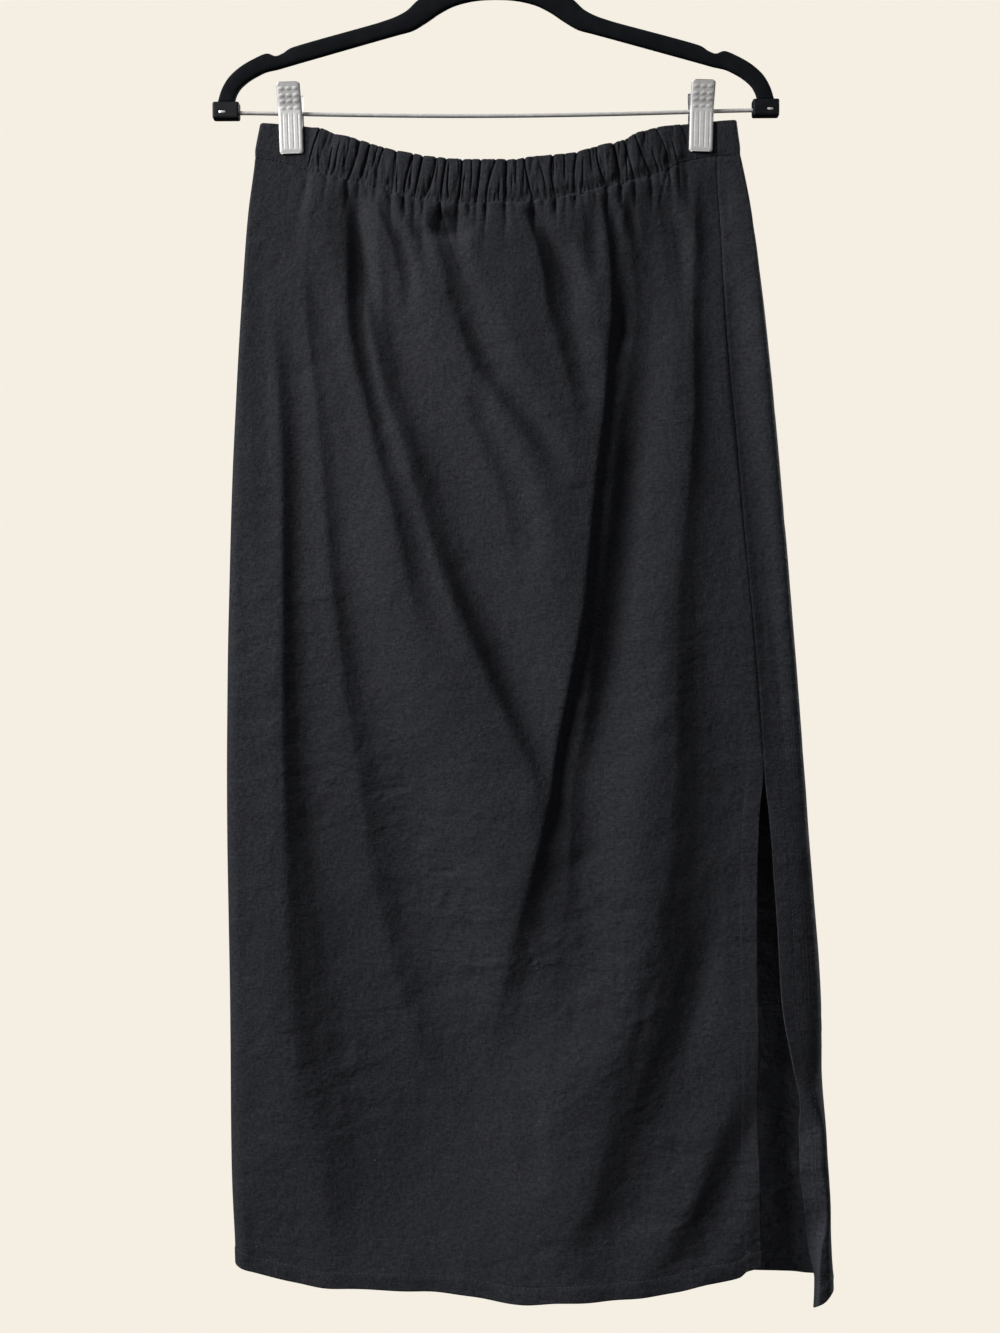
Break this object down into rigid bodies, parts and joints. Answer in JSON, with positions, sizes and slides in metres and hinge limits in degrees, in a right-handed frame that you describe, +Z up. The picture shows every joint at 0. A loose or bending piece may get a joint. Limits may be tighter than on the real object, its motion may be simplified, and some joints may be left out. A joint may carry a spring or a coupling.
{
  "type": "maxi skirt on a clip hanger",
  "caption": "Gathered maxi skirt with an elastic waistband and a side slit, hung by its waist from a flocked clip hanger with a metal hook.",
  "frame": {"origin": "inner crown of the hanger's hook, where a rail carries it", "axes": "+X to the viewer's right as the skirt hangs, +Y to the back, +Z up"},
  "size_m": [0.4756, 0.0768, 1.1545],
  "materials": {
    "cloth": "matte linen weave",
    "flock": "velvet flock over plastic",
    "clip_metal": "satin nickel plate",
    "wire": "bright plate"
  },
  "bodies": {
    "root": {"skirt_front": "cloth", "skirt_back": "cloth", "waistband_front": "cloth", "waistband_back": "cloth", "hanger_frame": "flock", "hanger_cap_left": "flock", "hanger_cap_right": "flock", "hanger_hook": "wire", "hanger_bar": "wire", "clip_left_front_jaw": "clip_metal", "clip_left_back_jaw": "clip_metal", "clip_left_spring": "clip_metal", "clip_right_front_jaw": "clip_metal", "clip_right_back_jaw": "clip_metal", "clip_right_spring": "clip_metal"}
  },
  "joints": []
}
